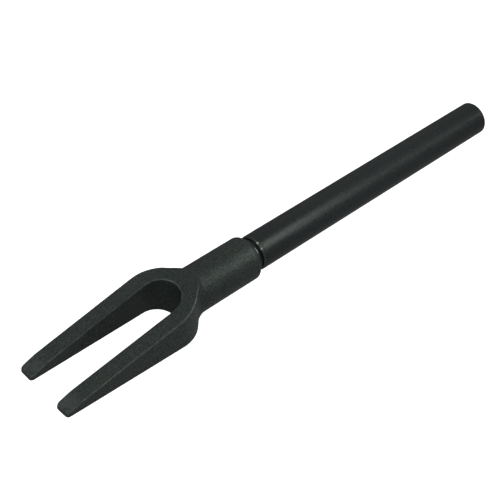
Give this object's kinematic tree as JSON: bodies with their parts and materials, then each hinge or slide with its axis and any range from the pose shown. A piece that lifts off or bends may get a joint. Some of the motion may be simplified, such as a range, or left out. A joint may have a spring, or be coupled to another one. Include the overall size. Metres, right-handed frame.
{
  "type": "ball joint separator",
  "caption": "Wedge fork ball joint separator: forged two-tine head whose socket pushes onto the tang of a round steel striking handle and is held there by a rubber ring.",
  "frame": {"origin": "centre of the struck end face of the handle, on the tool's axis", "axes": "+X along the tool from the struck face to the tips of the fork, +Z out of the sloping upper face of the wedge"},
  "size_m": [0.3044, 0.0368, 0.0236],
  "materials": {
    "black_oxide_bar": "black oxide on a fine-turned bar, satin, slightly worn at the chamfers",
    "black_rubber": "black nitrile rubber, wet-looking gloss",
    "phosphated_forging": "dark grey-green phosphate on a grit-blasted forging, matt with a fine grain, brighter along the edges"
  },
  "bodies": {
    "handle": {"handle": "black_oxide_bar"},
    "ring": {"retaining_ring": "black_rubber"},
    "head": {"fork_head": "phosphated_forging"}
  },
  "joints": [
    {"name": "head_swivel", "type": "hinge", "parent": "handle", "child": "ring", "pos_m": [0.1781, 0, 0], "axis": [1, 0, 0], "continuous": true},
    {"name": "head_pull_off", "type": "slide", "parent": "ring", "child": "head", "axis": [1, 0, 0], "range_m": [0, 0.04]}
  ]
}
